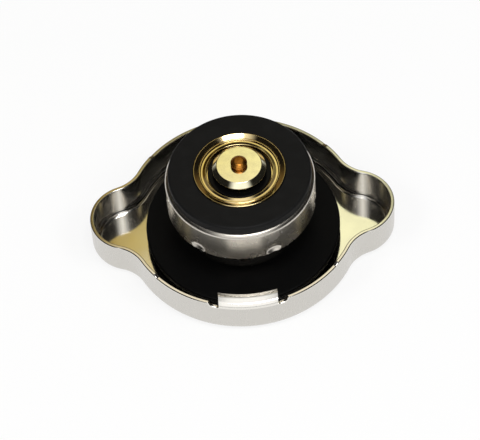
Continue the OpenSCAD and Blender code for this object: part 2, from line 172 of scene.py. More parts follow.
class RetainerSizes(bpy.types.PropertyGroup):
    """Sizes of the turned retainer and its seat."""

    lip_radius: length(8.9, "Lip radius", "Radius of the funnel flange's lip")
    lip_thickness: length(0.45, "Lip thickness", "Thickness of the flange")
    funnel_drop: length(0.6, "Funnel drop", "Fall of the funnel from its lip to the bead")
    bead_radius: length(7.65, "Bead radius", "Radius of the bead at the funnel's inner end")
    bead_round: length(0.2, "Bead round", "Radius of the bead's round top")
    ledge_drop: length(0.1, "Ledge drop", "Fall from the bead's middle to the ledge round the well")
    ledge_flat: length(0.35, "Ledge flat", "Width of the ledge's flat beside the bead")
    ledge_rise: length(0.1, "Ledge rise", "Rise of the ledge from its flat to the well's edge")
    well_radius: length(6.4, "Well radius", "Radius of the well round the vacuum valve")
    well_round: length(0.15, "Well round", "Radius on the well's edge")
    well_wall: length(1.45, "Well wall", "Thickness of the well's wall")
    seat: length(0.5, "Seat", "Thickness of the well's floor")
    barrel_radius: length(6.1, "Barrel radius", "Outside radius of the barrel through the cup")
    barrel_wall: length(0.5, "Barrel wall", "Thickness of the barrel's wall")
    flare_radius: length(7.7, "Flare radius", "Radius of the barrel's flared end")
    guide_radius: length(1.18, "Guide radius", "Radius of the stem's guide hole")
    flow_radius: length(0.9, "Flow hole radius", "Radius of a flow hole")
    flow_ring: length(4.2, "Flow ring", "Radius of the circle that the flow holes lie on")
    flow_count: bpy.props.IntProperty(
        name="Flow holes", description="Flow holes in the well's floor", default=6, min=1
    )


class VacuumSizes(bpy.types.PropertyGroup):
    """Sizes of the vacuum valve."""

    washer_radius: length(6.15, "Washer radius", "Radius of the rubber washer")
    hub_radius: length(4.0, "Hub radius", "Radius of the hub under the button")
    button_radius: length(4.35, "Button radius", "Radius of the button's flat face")
    edge_radius: length(5.2, "Button edge", "Radius of the button's edge")
    slope: length(0.9, "Slope", "Height of the button's sloping edge")
    edge: length(0.3, "Edge", "Thickness of the button at its edge")
    stem_radius: length(1.1, "Stem radius", "Radius of the stem")
    neck: length(0.3, "Neck", "Height of the neck under the pin's head")
    pin_radius: length(1.6, "Pin radius", "Radius of the stem's domed head")


class SpringSizes(bpy.types.PropertyGroup):
    """Sizes of the two coil springs."""

    main_wire: length(1.6, "Main wire", "Wire diameter of the main spring")
    main_radius: length(9.0, "Main radius", "Radius of the main coil at the middle of its wire")
    main_turns: bpy.props.FloatProperty(
        name="Main turns", description="Turns of the main spring", default=5, min=2
    )
    vacuum_wire: length(0.4, "Light wire", "Wire diameter of the light spring")
    vacuum_radius: length(2.1, "Light radius", "Radius of the light coil at the middle of its wire")
    vacuum_turns: bpy.props.FloatProperty(
        name="Light turns", description="Turns of the light spring", default=5.5, min=2
    )


class FinishColours(bpy.types.PropertyGroup):
    """Colours of the materials."""

    plate: colour("#E9E6DF", "Bright plate", "Bright nickel plate inside the shell")
    satin: colour("#D0CDC7", "Satin plate", "Rubbed nickel plate outside the shell")
    steel: colour("#D0CAC0", "Drawn steel", "Plain drawn steel sheet")
    wire: colour("#8E8C88", "Spring steel", "Oil-tempered spring wire")
    gasket: colour("#090909", "Gasket rubber", "Vulcanised black gasket rubber")
    seal: colour("#141414", "Seal rubber", "Moulded nitrile seal rubber")
    brass: colour("#E6CF9A", "Turned brass", "Bright turned brass")
    pale_brass: colour("#F7F0D0", "Lacquered brass", "Pale lacquered brass of the button")
    amber_brass: colour("#BE7E34", "Pin brass", "Dark yellow brass of the pin")


class StageSettings(bpy.types.PropertyGroup):
    """Camera, floor and light."""

    distance: length(500, "Distance", "Distance from the camera to the cap's middle")
    focal_pixels: bpy.props.FloatProperty(
        name="Focal length", description="Focal length in pixels of the picture", default=2564.3
    )
    azimuth: angle(-0.32, "Azimuth", "Turn of the cap under the camera")
    elevation: angle(53.76, "Elevation", "Height of the camera over the horizon")
    roll: angle(4.18, "Roll", "Tilt of the camera about its own axis")
    aim_height: length(10, "Aim height", "Height of the point that the camera turns round")
    shift_right: length(0.565, "Shift right", "Sideways place of that point in the picture")
    shift_up: length(3.171, "Shift up", "Upward place of that point in the picture")
    floor_radius: length(1500, "Floor radius", "Radius of the pale floor")
    floor: colour("#FAFAF9", "Floor", "Pale paper floor")
    card_left: colour("#A98B38", "Card left", "Shaded left side of the warm card behind the cap")
    card_middle: colour("#E9E1A8", "Card middle", "Middle of the warm card")
    card_right: colour("#FFFDD0", "Card right", "Bright right side of the warm card")
    card_top: colour("#EDE3CD", "Card top", "Paler top of the warm card")
    backdrop: colour("#7C6946", "Backdrop", "Room behind the floor")
    room: colour("#1B1A18", "Room", "Dim room at the sides")
    front_light: bpy.props.FloatProperty(
        name="Front light", description="Strength of the light over the camera, in metal", default=1.2
    )
    card_light: bpy.props.FloatProperty(
        name="Card light", description="Strength of the lit card, in metal", default=1.2
    )
    sky_light: bpy.props.FloatProperty(
        name="Sky light", description="Strength of the even light on plain surfaces", default=0.45
    )


GROUPS = {
    "cap_shell": ShellSizes,
    "cap_gasket": GasketSizes,
    "cap_cup": CupSizes,
    "cap_seal": SealSizes,
    "cap_retainer": RetainerSizes,
    "cap_vacuum": VacuumSizes,
    "cap_springs": SpringSizes,
    "cap_colours": FinishColours,
    "cap_stage": StageSettings,
}


def sizes(group):
    """A group's settings as a plain object, its lengths in millimetres."""
    settings = getattr(bpy.context.scene, group)

    class Values:
        pass

    for name, prop in settings.bl_rna.properties.items():
        if name in ("rna_type", "name"):
            continue
        value = getattr(settings, name)
        setattr(Values, name, value / MM if getattr(prop, "unit", "") == "LENGTH" else value)
    return Values


# Materials


def add(tree, kind, inputs=None, **settings):
    """Adds a node with its settings. An input takes a value, or a socket that is linked to it."""
    node = tree.nodes.new(kind)
    for name, value in settings.items():
        setattr(node, name, value)
    for name, value in (inputs or {}).items():
        if isinstance(value, bpy.types.NodeSocket):
            tree.links.new(value, node.inputs[name])
        else:
            node.inputs[name].default_value = value
    return node


def opaque(rgb):
    """Red, green, blue and full alpha."""
    return (*rgb, 1.0)


def new_material(name):
    """Empty material and its node tree, with the object's own coordinates in metres."""
    material = bpy.data.materials.new(name)
    material.use_nodes = True
    tree = material.node_tree
    tree.nodes.clear()
    place = add(tree, "ShaderNodeTexCoord").outputs["Object"]
    return material, tree, place


def close_material(material, tree, shader):
    """Links the shader to the output."""
    add(tree, "ShaderNodeOutputMaterial", {"Surface": shader})
    return material


def polished_plate(colours):
    """Nickel plate on deep-drawn steel, left bright inside the shell.

    It mirrors what stands round it, a little wavy from the drawing, with faint haze in patches. The
    drawn walls are duller than the flat crown."""
    material, tree, place = new_material("polished_nickel_plate")
    wave = add(tree, "ShaderNodeTexNoise", {"Vector": place, "Scale": 1 / (7 * MM), "Detail": 1.0})
    peel = add(tree, "ShaderNodeTexNoise", {"Vector": place, "Scale": 1 / (0.6 * MM), "Detail": 2.0})
    haze = add(tree, "ShaderNodeTexNoise", {"Vector": place, "Scale": 1 / (4 * MM), "Detail": 4.0})
    rough = add(
        tree,
        "ShaderNodeMapRange",
        {
            "Value": haze.outputs["Fac"],
            "From Min": 0.35,
            "From Max": 0.7,
            "To Min": 0.08,
            "To Max": 0.13,
        },
    )
    facing = add(tree, "ShaderNodeTexCoord").outputs["Normal"]
    rise = add(tree, "ShaderNodeSeparateXYZ", {"Vector": facing})
    wall = add(
        tree,
        "ShaderNodeMapRange",
        {
            "Value": rise.outputs["Z"],
            "From Min": 0.9,
            "From Max": 0.4,
            "To Min": 0.0,
            "To Max": 0.08,
        },
    )
    dull = add(
        tree,
        "ShaderNodeMath",
        {0: rough.outputs["Result"], 1: wall.outputs["Result"]},
        operation="ADD",
    )
    drawn = add(
        tree,
        "ShaderNodeBump",
        {"Height": wave.outputs["Fac"], "Strength": 1.0, "Distance": 0.03 * MM},
    )
    skin = add(
        tree,
        "ShaderNodeBump",
        {
            "Height": peel.outputs["Fac"],
            "Strength": 1.0,
            "Distance": 0.0015 * MM,
            "Normal": drawn.outputs["Normal"],
        },
    )
    shader = add(
        tree,
        "ShaderNodeBsdfPrincipled",
        {
            "Base Color": opaque(colours.plate),
            "Metallic": 1.0,
            "Roughness": dull.outputs["Value"],
            "Normal": skin.outputs["Normal"],
        },
    )
    return close_material(material, tree, shader.outputs["BSDF"])


def satin_plate(colours):
    """Nickel plate on the rubbed outside of the shell.

    Draw marks run up the skirt and blur the mirror to a soft silver sheen. Real marks are finer,
    and these are as coarse as they need to show."""
    material, tree, place = new_material("satin_nickel_plate")
    streaks = add(tree, "ShaderNodeMapping", {"Vector": place, "Scale": (1, 1, 0.12)})
    marks = add(
        tree,
        "ShaderNodeTexNoise",
        {"Vector": streaks.outputs["Vector"], "Scale": 1 / (0.7 * MM), "Detail": 5.0},
    )
    cloud = add(tree, "ShaderNodeTexNoise", {"Vector": place, "Scale": 1 / (5 * MM), "Detail": 3.0})
    both = add(
        tree,
        "ShaderNodeMath",
        {0: marks.outputs["Fac"], 1: cloud.outputs["Fac"]},
        operation="ADD",
    )
    rough = add(
        tree,
        "ShaderNodeMapRange",
        {
            "Value": both.outputs["Value"],
            "From Min": 0.7,
            "From Max": 1.3,
            "To Min": 0.24,
            "To Max": 0.32,
        },
    )
    tint = add(
        tree,
        "ShaderNodeMapRange",
        {
            "Value": both.outputs["Value"],
            "From Min": 0.6,
            "From Max": 1.4,
            "To Min": 0.96,
            "To Max": 1.0,
        },
    )
    shade = add(
        tree,
        "ShaderNodeMix",
        {0: 1.0, 6: opaque(colours.satin), 7: tint.outputs["Result"]},
        data_type="RGBA",
        blend_type="MULTIPLY",
    )
    bump = add(
        tree,
        "ShaderNodeBump",
        {"Height": both.outputs["Value"], "Strength": 1.0, "Distance": 0.006 * MM},
    )
    shader = add(
        tree,
        "ShaderNodeBsdfPrincipled",
        {
            "Base Color": shade.outputs[2],
            "Metallic": 1.0,
            "Roughness": rough.outputs["Result"],
            "Normal": bump.outputs["Normal"],
        },
    )
    return close_material(material, tree, shader.outputs["BSDF"])


def drawn_steel(colours):
    """Plain steel sheet, deep drawn and tumbled.

    Its skirt is satin with marks along the draw, which are as coarse as they need to show, and
    duller where the die rubbed it."""
    material, tree, place = new_material("drawn_steel")
    along = add(tree, "ShaderNodeMapping", {"Vector": place, "Scale": (1, 1, 0.25)})
    marks = add(
        tree,
        "ShaderNodeTexNoise",
        {"Vector": along.outputs["Vector"], "Scale": 1 / (0.35 * MM), "Detail": 4.0},
    )
    worn = add(tree, "ShaderNodeTexNoise", {"Vector": place, "Scale": 1 / (3 * MM), "Detail": 3.0})
    rough = add(
        tree,
        "ShaderNodeMapRange",
        {
            "Value": worn.outputs["Fac"],
            "From Min": 0.35,
            "From Max": 0.65,
            "To Min": 0.24,
            "To Max": 0.28,
        },
    )
    tint = add(
        tree,
        "ShaderNodeMapRange",
        {
            "Value": marks.outputs["Fac"],
            "From Min": 0.3,
            "From Max": 0.7,
            "To Min": 0.97,
            "To Max": 1.0,
        },
    )
    shade = add(
        tree,
        "ShaderNodeMix",
        {0: 1.0, 6: opaque(colours.steel), 7: tint.outputs["Result"]},
        data_type="RGBA",
        blend_type="MULTIPLY",
    )
    bump = add(
        tree,
        "ShaderNodeBump",
        {"Height": marks.outputs["Fac"], "Strength": 1.0, "Distance": 0.0004 * MM},
    )
    shader = add(
        tree,
        "ShaderNodeBsdfPrincipled",
        {
            "Base Color": shade.outputs[2],
            "Metallic": 1.0,
            "Roughness": rough.outputs["Result"],
            "Normal": bump.outputs["Normal"],
        },
    )
    return close_material(material, tree, shader.outputs["BSDF"])


def spring_wire(colours):
    """Oil-tempered spring steel, drawn and coiled.

    A dark satin grey, faintly mottled by the tempering."""
    material, tree, place = new_material("tempered_spring_steel")
    mottle = add(tree, "ShaderNodeTexNoise", {"Vector": place, "Scale": 1 / (0.25 * MM), "Detail": 3.0})
    rough = add(
        tree,
        "ShaderNodeMapRange",
        {
            "Value": mottle.outputs["Fac"],
            "From Min": 0.3,
            "From Max": 0.7,
            "To Min": 0.3,
            "To Max": 0.45,
        },
    )
    shader = add(
        tree,
        "ShaderNodeBsdfPrincipled",
        {"Base Color": opaque(colours.wire), "Metallic": 1.0, "Roughness": rough.outputs["Result"]},
    )
    return close_material(material, tree, shader.outputs["BSDF"])


def gasket_rubber(name, rgb, roughness):
    """Vulcanised gasket rubber with carbon black, cut from moulded sheet.

    Nearly black, with a fine even grain that only shows where light grazes it."""
    material, tree, place = new_material(name)
    grain = add(tree, "ShaderNodeTexNoise", {"Vector": place, "Scale": 1 / (0.3 * MM), "Detail": 3.0})
    rough = add(
        tree,
        "ShaderNodeMapRange",
        {
            "Value": grain.outputs["Fac"],
            "From Min": 0.3,
            "From Max": 0.7,
            "To Min": roughness * 0.85,
            "To Max": roughness * 1.15,
        },
    )
    bump = add(
        tree,
        "ShaderNodeBump",
        {"Height": grain.outputs["Fac"], "Strength": 1.0, "Distance": roughness * 0.016 * MM},
    )
    shader = add(
        tree,
        "ShaderNodeBsdfPrincipled",
        {
            "Base Color": opaque(rgb),
            "Roughness": rough.outputs["Result"],
            "IOR": 1.45,
            "Specular IOR Level": 0.1,
            "Normal": bump.outputs["Normal"],
        },
    )
    return close_material(material, tree, shader.outputs["BSDF"])


def seal_rubber(colours):
    """Nitrile rubber, moulded in a turned steel die.

    Dark grey and satin, with faint rings copied from the die and a dusting of talc. The rings are
    as coarse as they need to show."""
    material, tree, place = new_material("moulded_nitrile_rubber")
    rings = add(
        tree,
        "ShaderNodeTexWave",
        {"Vector": place, "Scale": 2 * math.pi / 20 / (0.9 * MM), "Distortion": 0.6, "Detail": 2.0},
        wave_type="RINGS",
        rings_direction="Z",
    )
    grain = add(tree, "ShaderNodeTexNoise", {"Vector": place, "Scale": 1 / (0.25 * MM), "Detail": 4.0})
    talc = add(tree, "ShaderNodeTexNoise", {"Vector": place, "Scale": 1 / (2.5 * MM), "Detail": 5.0})
    dust = add(
        tree,
        "ShaderNodeMapRange",
        {
            "Value": talc.outputs["Fac"],
            "From Min": 0.45,
            "From Max": 0.75,
            "To Min": 0.0,
            "To Max": 0.35,
        },
    )
    dusty = [1.8 * c for c in colours.seal]
    shade = add(
        tree,
        "ShaderNodeMix",
        {0: dust.outputs["Result"], 6: opaque(colours.seal), 7: opaque(dusty)},
        data_type="RGBA",
    )
    relief = add(
        tree,
        "ShaderNodeMath",
        {0: rings.outputs["Fac"], 1: 0.5, 2: grain.outputs["Fac"]},
        operation="MULTIPLY_ADD",
    )
    bump = add(
        tree,
        "ShaderNodeBump",
        {"Height": relief.outputs["Value"], "Strength": 1.0, "Distance": 0.01 * MM},
    )
    rough = add(
        tree,
        "ShaderNodeMapRange",
        {
            "Value": grain.outputs["Fac"],
            "From Min": 0.3,
            "From Max": 0.7,
            "To Min": 0.42,
            "To Max": 0.55,
        },
    )
    shader = add(
        tree,
        "ShaderNodeBsdfPrincipled",
        {
            "Base Color": shade.outputs[2],
            "Roughness": rough.outputs["Result"],
            "IOR": 1.5,
            "Specular IOR Level": 0.12,
            "Normal": bump.outputs["Normal"],
        },
    )
    return close_material(material, tree, shader.outputs["BSDF"])


def turned_brass(name, rgb, roughness, groove, relief):
    """Brass turned on a lathe.

    A bright yellow metal with fine rings from the tool. Groove is the spacing of the rings, as coarse
    as they need to show, and relief their depth, both in millimetres."""
    material, tree, place = new_material(name)
    rings = add(
        tree,
        "ShaderNodeTexWave",
        {"Vector": place, "Scale": 2 * math.pi / 20 / (groove * MM), "Distortion": 1.2, "Detail": 2.0},
        wave_type="RINGS",
        rings_direction="Z",
    )
    stain = add(tree, "ShaderNodeTexNoise", {"Vector": place, "Scale": 1 / (1.6 * MM), "Detail": 4.0})
    rough = add(
        tree,
        "ShaderNodeMapRange",
        {
            "Value": stain.outputs["Fac"],
            "From Min": 0.3,
            "From Max": 0.7,
            "To Min": roughness * 0.8,
            "To Max": roughness * 1.3,
        },
    )
    tint = add(
        tree,
        "ShaderNodeMapRange",
        {
            "Value": stain.outputs["Fac"],
            "From Min": 0.3,
            "From Max": 0.7,
            "To Min": 1.0,
            "To Max": 0.9,
        },
    )
    shade = add(
        tree,
        "ShaderNodeMix",
        {0: 1.0, 6: opaque(rgb), 7: tint.outputs["Result"]},
        data_type="RGBA",
        blend_type="MULTIPLY",
    )
    bump = add(
        tree,
        "ShaderNodeBump",
        {"Height": rings.outputs["Fac"], "Strength": 1.0, "Distance": relief * MM},
    )
    shader = add(
        tree,
        "ShaderNodeBsdfPrincipled",
        {
            "Base Color": shade.outputs[2],
            "Metallic": 1.0,
            "Roughness": rough.outputs["Result"],
            "Normal": bump.outputs["Normal"],
        },
    )
    return close_material(material, tree, shader.outputs["BSDF"])


def finish(name):
    """The named material, made on its first use."""
    colours = bpy.context.scene.cap_colours
    makers = {
        "polished_nickel_plate": lambda: polished_plate(colours),
        "satin_nickel_plate": lambda: satin_plate(colours),
        "drawn_steel": lambda: drawn_steel(colours),
        "tempered_spring_steel": lambda: spring_wire(colours),
        "vulcanised_rubber": lambda: gasket_rubber(name, colours.gasket, 0.5),
        "glossy_rubber": lambda: gasket_rubber(name, colours.gasket, 0.22),
        "moulded_nitrile_rubber": lambda: seal_rubber(colours),
        "lathe_turned_brass": lambda: turned_brass(name, colours.brass, 0.08, 0.3, 0.0003),
        "lacquered_brass": lambda: turned_brass(name, colours.pale_brass, 0.12, 0.6, 0.0004),
        "headed_brass_wire": lambda: turned_brass(name, colours.amber_brass, 0.32, 0.4, 0.002),
    }
    return bpy.data.materials.get(name) or makers[name]()


# Meshes


def rounded(corners, closed=True, steps=6):
    """Section with rounded corners, as rows of x, z and the outward normal there.

    A corner is (x, z, radius) or (x, z, radius, parts), where parts splits the edge after it. The
    section runs anticlockwise, so that its outside is on the right. The ends of an open one stay."""
    count = len(corners)
    runs = []
    for i, (x, z, radius, *_) in enumerate(corners):
        here = np.array((x, z))
        steps_in = here - np.array(corners[i - 1][:2])
        steps_out = np.array(corners[(i + 1) % count][:2]) - here
        if not closed and i in (0, count - 1):
            edge = steps_out if i == 0 else steps_in
            edge = edge / np.linalg.norm(edge)
            runs.append([(x, z, edge[1], -edge[0])])
            continue
        before, after = steps_in / np.linalg.norm(steps_in), steps_out / np.linalg.norm(steps_out)
        turn = math.atan2(before[0] * after[1] - before[1] * after[0], before @ after)
        side = 1 if turn > 0 else -1
        start = math.atan2(-before[0], before[1])
        middle = here - before * radius * math.tan(abs(turn) / 2)
        middle = middle - side * radius * np.array((math.cos(start), math.sin(start)))
        parts = max(2, math.ceil(steps * abs(turn) / (math.pi / 2)))
        run = []
        for k in range(parts + 1):
            facing = start + turn * k / parts
            normal = np.array((math.cos(facing), math.sin(facing)))
            run.append((*(middle + side * radius * normal), *normal))
        runs.append(run)
    points = []
    for i, run in enumerate(runs):
        points.extend(run)
        parts = corners[i][3] if len(corners[i]) > 3 else 1
        first, last = np.array(run[-1]), np.array(runs[(i + 1) % count][0])
        for k in range(1, parts):
            points.append((*(first + (last - first) * k / parts)[:2], *run[-1][2:]))
    return np.array(points)


def grid(rows, columns, row_loop, column_loop):
    """Faces of a grid whose points are listed row by row."""
    faces = []
    for i in range(rows if row_loop else rows - 1):
        for k in range(columns if column_loop else columns - 1):
            below, right = (i + 1) % rows, (k + 1) % columns
            faces.append(
                (i * columns + k, i * columns + right, below * columns + right, below * columns + k)
            )
    return faces


def facing_out(points, normals, faces):
    """The faces, turned over where they look against their points' normals."""
    turned = []
    for face in faces:
        face = [v for i, v in enumerate(face) if np.any(points[v] != points[face[i - 1]])]
        if len(face) < 3:
            continue
        corners = points[face]
        around = np.cross(corners, np.roll(corners, -1, axis=0)).sum(axis=0)
        turned.append(face if around @ normals[face].sum(axis=0) >= 0 else face[::-1])
    return turned


def new_piece(name, points, normals, faces, materials, indices=None):
    """Mesh object from points in millimetres, with the given normals for shading."""
    mesh = bpy.data.meshes.new(name)
    mesh.from_pydata((np.asarray(points) * MM).tolist(), [], [list(f) for f in faces])
    for material in materials:
        mesh.materials.append(finish(material))
    if indices is not None:
        mesh.polygons.foreach_set("material_index", indices)
    mesh.shade_smooth()
    mesh.update()
    mesh.normals_split_custom_set_from_vertices(np.asarray(normals).tolist())
    piece = bpy.data.objects.new(name, mesh)
    bpy.context.scene.collection.objects.link(piece)
    return piece


def turned(section, segments=192, loop=True):
    """Points, normals and faces of a section turned round the Z axis."""
    turns = np.linspace(0, 2 * math.pi, segments, endpoint=False)
    cos, sin = np.cos(turns)[:, None], np.sin(turns)[:, None]
    x, z, nx, nz = section.T
    flat = np.zeros_like(cos)
    points = np.stack((x * cos, x * sin, z + flat), axis=-1).reshape(-1, 3)
    normals = np.stack((nx * cos, nx * sin, nz + flat), axis=-1).reshape(-1, 3)
    faces = facing_out(points, normals, grid(segments, len(section), True, loop))
    return points, normals, faces


def settle(piece, body, node):
    """Puts a new piece in its CAD node's place on a body."""
    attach(piece, body)
    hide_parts(node)
    return piece


def dress(node, material):
    """Gives a CAD node that keeps its shape a finish."""
    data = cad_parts[node].data
    data.materials.clear()
    data.materials.append(finish(material))


# Shell


def notch_floor(s):
    """Height of the floor of the notches beside a tab."""
    return s.height - s.tab_bend - s.sheet - s.notch_drop


def shell_stations(s):
    """Stations of the right half of the outline, from the back tab's side round the ear to the front
    tab's: x, y, outward x, outward y and the rim's height."""
    span = s.body_radius + s.blend_radius
    near = s.ear_radius + s.blend_radius
    blend_x = (span**2 - near**2 + s.ear_middle**2) / (2 * s.ear_middle)
    blend_y = math.sqrt(span**2 - blend_x**2)
    body_turn = math.atan2(blend_y, blend_x)
    ear_turn = math.atan2(blend_y, blend_x - s.ear_middle)
    floor_z = notch_floor(s)
    fillet = s.notch / 2
    wall_x = s.tab_half + s.notch
    trim_end = math.pi / 2 - s.trim_turn
    chance = np.random.default_rng(11)

    def at(cx, cy, r, turn, height, flip=1):
        x, y = math.cos(turn), math.sin(turn)
        return (cx + r * x, cy + r * y, flip * x, flip * y, height)

    quarter = []
    for turn in np.linspace(0, ear_turn, 44, endpoint=False):
        quarter.append(at(s.ear_middle, 0, s.ear_radius, turn, s.height))
    for turn in np.linspace(math.pi + ear_turn, math.pi + body_turn, 30, endpoint=False):
        quarter.append(at(blend_x, blend_y, s.blend_radius, turn, s.height, -1))
    shear = 0.12 / s.body_radius
    for turn in np.linspace(body_turn, trim_end - shear, 8):
        quarter.append(at(0, 0, s.body_radius, turn, s.height))
    low = s.height - s.trim
    wall_turn = math.acos(wall_x / s.body_radius)
    for turn in np.linspace(trim_end + shear, wall_turn - shear, 26):
        quarter.append(at(0, 0, s.body_radius, turn, low))
    for k in range(9):
        x = wall_x - fillet * (1 - math.cos(math.pi / 2 * k / 8))
        rise = fillet - math.sqrt(max(0, fillet**2 - (x - wall_x + fillet) ** 2))
        height = min(low, floor_z + rise)
        quarter.append(at(0, 0, s.body_radius, math.acos(x / s.body_radius), height))
    for k in range(1, 6):
        x = wall_x - fillet - (s.notch - fillet) * k / 5
        height = floor_z - (s.burr * chance.random() if k < 5 else 0)
        quarter.append(at(0, 0, s.body_radius, math.acos(x / s.body_radius), height))
    front = [(x, -y, nx, -ny, h) for x, y, nx, ny, h in quarter[1:]]
    return quarter[::-1] + front


def shell_ring(s, station, wall, boss, edge_x=None):
    """Points and normals of one section: under the crown, over the rim and back along the floor.

    Wall rows lie at an offset from the outline, and boss rows at a distance from the axis. With
    edge_x, what stands over the notch's floor ends on the plane of the tab's side."""
    x, y, nx, ny, _ = station
    root_z = notch_floor(s) - s.rim_round
    points, normals = [], []
    for offset, z, across, up in wall:
        px, py, dx, dy = x + offset * nx, y + offset * ny, nx, ny
        if edge_x is not None and z > root_z:
            r = s.body_radius + offset
            px, py = edge_x, math.copysign(math.sqrt(r**2 - edge_x**2), y)
            dx, dy = px / r, py / r
        points.append((px, py, z))
        normals.append((across * dx, across * dy, up))
    turn = math.atan2(points[0][1], points[0][0])
    ring = [(r * math.cos(turn), r * math.sin(turn), z) for r, z, _, _ in boss]
    facing = [(n * math.cos(turn), n * math.sin(turn), up) for _, _, n, up in boss]
    half = len(boss) // 2
    return ring[:half] + points + ring[half:], facing[:half] + normals + facing[half:]


def shell_boss(s):
    """Rows of the boss: those under it from the hole outward, then those on it back to the hole."""
    foot = s.boss_radius + s.boss_depth
    shift = s.sheet * math.tan(math.pi / 8)
    top = s.boss_depth + s.sheet
    under = rounded(
        [
            (s.hole_radius, s.boss_depth, 0),
            (s.boss_radius, s.boss_depth, 0.5),
            (foot, 0, 0.8),
            (foot + 1, 0, 0),
        ],
        closed=False,
    )
    over = rounded(
        [
            (foot + shift + 0.8, s.sheet, 0),
            (foot + shift, s.sheet, 0.5),
            (s.boss_radius + shift, top, 0.8),
            (s.hole_radius, top, 0),
        ],
        closed=False,
    )
    return np.concatenate((under, over))


def plain_wall(s, height):
    """Rows of the skirt's section with a rim at this height."""
    inset = -4
    return rounded(
        [
            (inset, 0, 0),
            (0, 0, s.bend),
            (0, height, s.rim_round),
            (-s.sheet, height, s.rim_round),
            (-s.sheet, s.sheet, s.bend - s.sheet),
            (inset, s.sheet, 0),
        ],
        closed=False,
        steps=9,
    )


def tab_wall(s):
    """Rows of the skirt's section with a locking tab bent inward on it.

    The tab's end lies nearly level, and its face falls from there to the bend."""
    inset = -4
    edge = 0.12
    # Radius and place of the easy bend in the tab's face
    curl = 5
    curl_x, curl_drop = -0.68 * s.tab_reach, s.tab_fall / 16
    return rounded(
        [
            (inset, 0, 0),
            (0, 0, s.bend, 8),
            (0, s.height - s.tab_fall, s.tab_bend + s.sheet),
            (curl_x, s.height - curl_drop, curl),
            (-s.tab_reach, s.height, edge),
            (-s.tab_reach, s.height - s.sheet, edge),
            (curl_x, s.height - s.sheet - curl_drop, curl),
            (-s.sheet, s.height - s.sheet - s.tab_fall, s.tab_bend, 8),
            (-s.sheet, s.sheet, s.bend - s.sheet),
            (inset, s.sheet, 0),
        ],
        closed=False,
        steps=9,
    )


def outside_rows(wall):
    """Number of a section's rows on the outer face, up to where it turns inward over the rim."""
    rising = 0.01
    return int(np.argmax(wall[:, 3] > rising)) - 1


class CAP_OT_shell(bpy.types.Operator):
    """Drawn shell with two ears and two locking tabs"""

    bl_idname = "radiator_cap.shell"
    bl_label = "Drawn shell"

    def execute(self, context):
        s = sizes("cap_shell")
        boss = shell_boss(s)
        half_boss = len(boss) // 2
        points, normals, faces, indices = [], [], [], []

        def strip(rings, outside):
            """Adds the faces between rings of points, satin where they belong to the outside."""
            base, columns = len(points), len(rings[0][0])
            for ring, facing in rings:
                points.extend(ring)
                normals.extend(facing)
            for i, face in enumerate(grid(len(rings), columns, False, True)):
                faces.append([base + v for v in face])
                indices.append(0 if i % columns < outside else 1)

        right = shell_stations(s)
        last = len(right) - 1
        for side in (1, -1):
            rings = []
            for i, (x, y, nx, ny, height) in enumerate(right):
                station = (side * x, y, side * nx, ny, height)
                edge_x = side * s.tab_half if i in (0, last) else None
                rings.append(shell_ring(s, station, plain_wall(s, height), boss, edge_x))
            for i in range(1, last):
                tilt_rim(rings, i, right)
            strip(rings, half_boss + outside_rows(plain_wall(s, s.height)))
        tab = tab_wall(s)
        for side in (1, -1):
            rings = []
            for share in np.linspace(-1, 1, 15):
                x = share * s.tab_half
                y = side * math.sqrt(s.body_radius**2 - x**2)
                station = (x, y, x / s.body_radius, y / s.body_radius, s.height)
                rings.append(shell_ring(s, station, tab, boss, x))
            strip(rings, half_boss + outside_rows(tab))
            lip_foot = notch_floor(s) - s.rim_round
            for ring, _ in (rings[0], rings[-1]):
                lip = [p for p in ring[half_boss : half_boss + len(tab)] if p[2] > lip_foot]
                base = len(points)
                points.extend(lip)
                normals.extend([(math.copysign(1, lip[0][0]), 0, 0)] * len(lip))
                faces.append(list(range(base, base + len(lip))))
                indices.append(1)
        points, normals = np.array(points), np.array(normals)
        kept = facing_out(points, normals, faces)
        if len(kept) != len(faces):
            raise RuntimeError("the shell has a face of no size")
        shell = new_piece(
            "drawn_shell",
            points,
            normals,
            kept,
            ["satin_nickel_plate", "polished_nickel_plate"],
            indices,
        )
        settle(shell, "shell", "cap_shell")
        return {"FINISHED"}


def tilt_rim(rings, i, stations):
    """Tilts the normals on a rim that rises or falls between the neighbours of station i."""
    if stations[i - 1][4] == stations[i + 1][4]:
        return
    steepest = 0.2
    before, here, after = (np.array(rings[k][0]) for k in (i - 1, i, i + 1))
    normals = np.array(rings[i][1])
    for k in range(len(here)):
        if abs(after[k][2] - before[k][2]) < 1e-6:
            continue
        along = after[k] - before[k]
        along = along / np.linalg.norm(along)
        tilted = normals[k] - (normals[k] @ along) * along
        if np.linalg.norm(tilted) > steepest:
            normals[k] = tilted / np.linalg.norm(tilted)
    rings[i] = (rings[i][0], [tuple(n) for n in normals])


# Rivet, gasket and spring holder


class CAP_OT_rivet(bpy.types.Operator):
    """Finish of the centre rivet and its washer"""

    bl_idname = "radiator_cap.rivet"
    bl_label = "Centre rivet"

    def execute(self, context):
        dress("centre_rivet", "drawn_steel")
        dress("rivet_washer", "drawn_steel")
        return {"FINISHED"}


